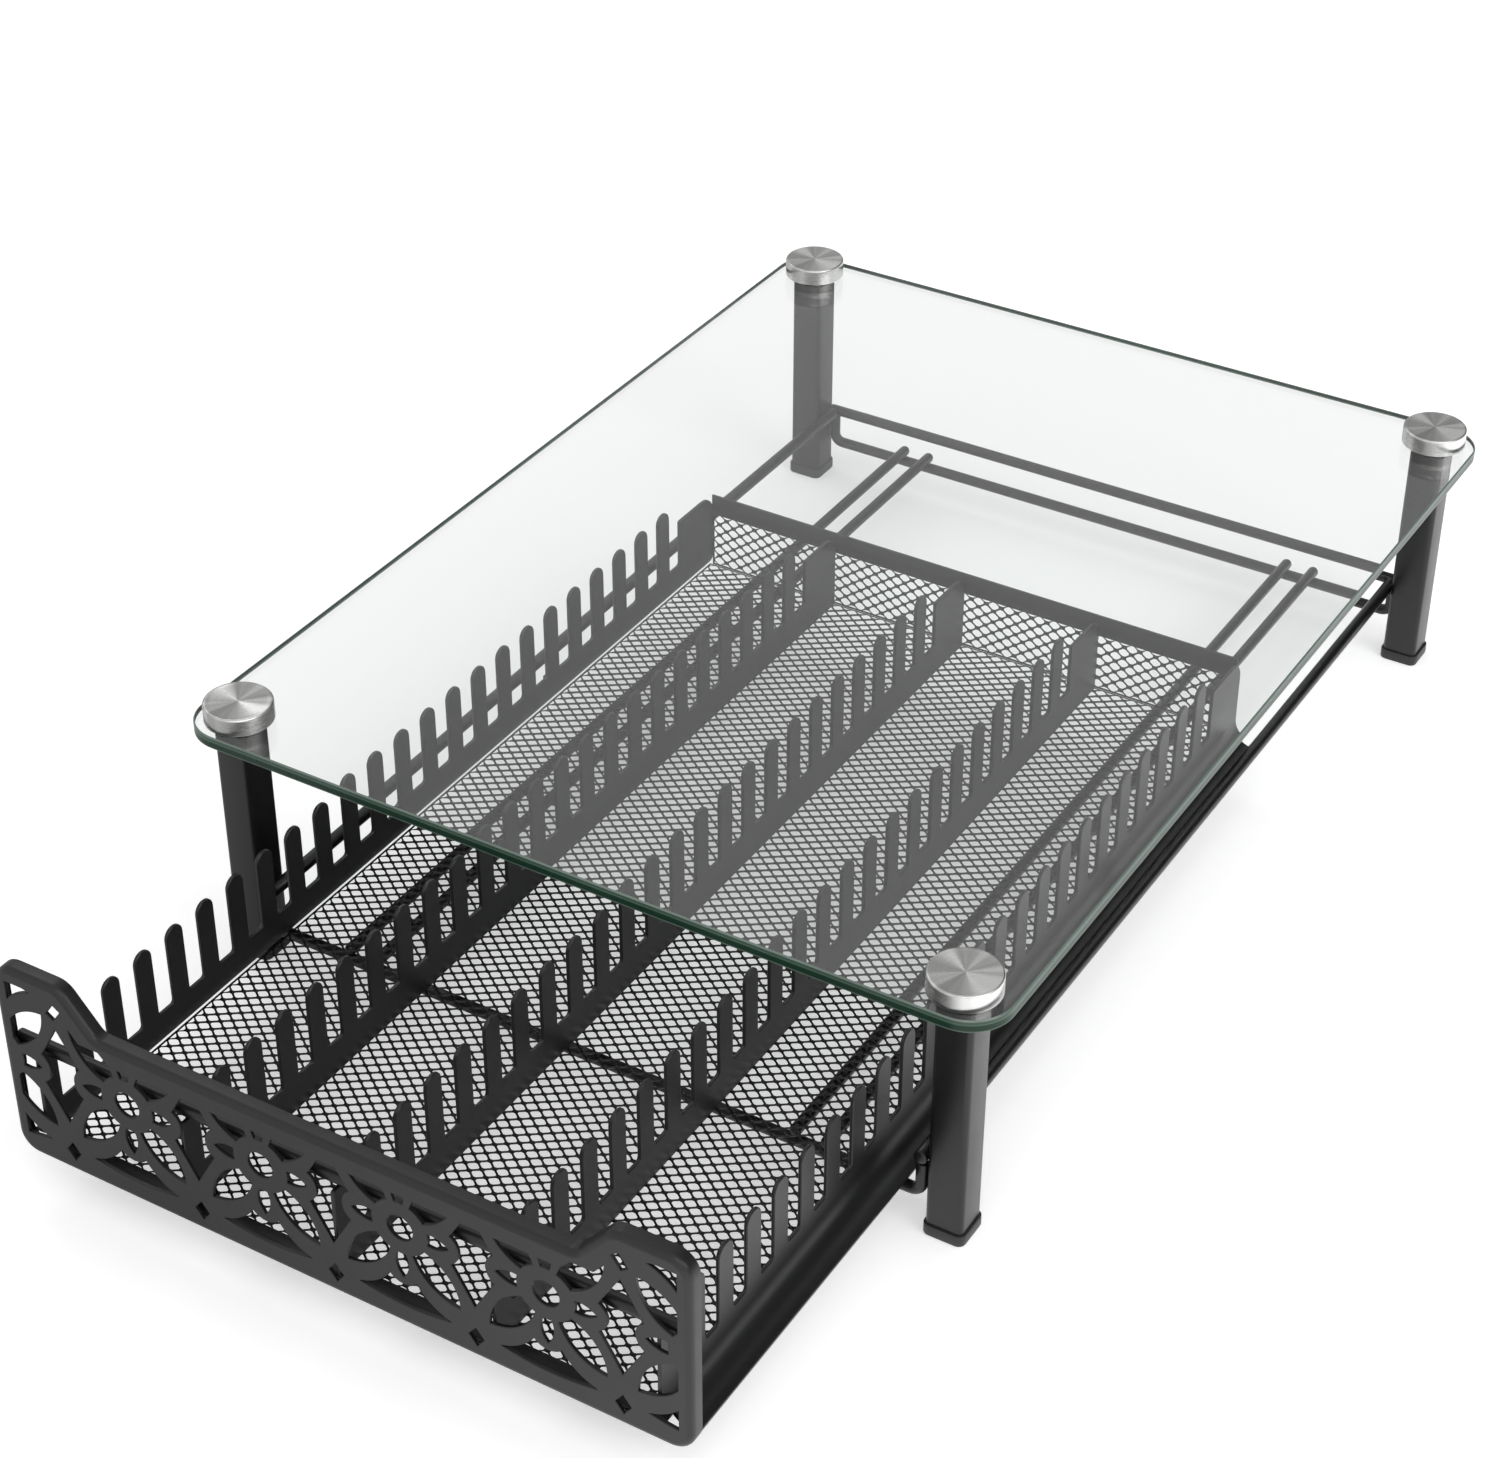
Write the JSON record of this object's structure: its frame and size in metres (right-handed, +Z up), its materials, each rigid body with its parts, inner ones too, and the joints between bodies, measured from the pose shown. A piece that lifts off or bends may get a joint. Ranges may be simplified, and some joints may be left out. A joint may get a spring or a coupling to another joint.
{
  "type": "coffee pod drawer",
  "caption": "Glass-topped stand for a coffee machine with a sheet-metal drawer that slides out and keeps coffee pods upright in lanes between comb walls.",
  "frame": {"origin": "middle of the whole part's footprint with the drawer partly open, on the surface it stands on", "axes": "+X to the right along the front, +Y from the front to the back, +Z up"},
  "size_m": [0.32, 0.557, 0.1085],
  "materials": {
    "frame_coat": "satin",
    "sheet_coat": "satin",
    "steel": "brushed",
    "rubber": "matt",
    "foot_plastic": "satin",
    "glass": "polished"
  },
  "bodies": {
    "stand": {"glass_top": "glass", "cap_front_left": "steel", "cap_front_right": "steel", "cap_rear_left": "steel", "cap_rear_right": "steel", "upper_washers": "rubber", "lower_washers": "rubber", "leg_front_left": "frame_coat", "leg_front_right": "frame_coat", "leg_rear_left": "frame_coat", "leg_rear_right": "frame_coat", "leg_plugs": "steel", "foot_front_left": "foot_plastic", "foot_front_right": "foot_plastic", "foot_rear_left": "foot_plastic", "foot_rear_right": "foot_plastic", "side_rail_left": "frame_coat", "side_rail_right": "frame_coat", "front_cradle_wire": "frame_coat", "rear_cradle_wire": "frame_coat", "rear_stop_bar": "frame_coat", "guide_rod_left_outer": "frame_coat", "guide_rod_left_inner": "frame_coat", "guide_rod_right_inner": "frame_coat", "guide_rod_right_outer": "frame_coat"},
    "drawer": {"front_panel": "sheet_coat", "front_rod": "sheet_coat", "side_comb_left": "sheet_coat", "side_comb_right": "sheet_coat", "divider_comb_left": "sheet_coat", "divider_comb_middle": "sheet_coat", "divider_comb_right": "sheet_coat", "drawer_floor": "sheet_coat", "rear_wall": "sheet_coat", "stop_lug_left": "sheet_coat", "stop_lug_right": "sheet_coat"}
  },
  "joints": [
    {"name": "drawer_slide", "type": "slide", "parent": "stand", "child": "drawer", "axis": [0, -1, 0], "range_m": [-0.127, 0.168]}
  ]
}
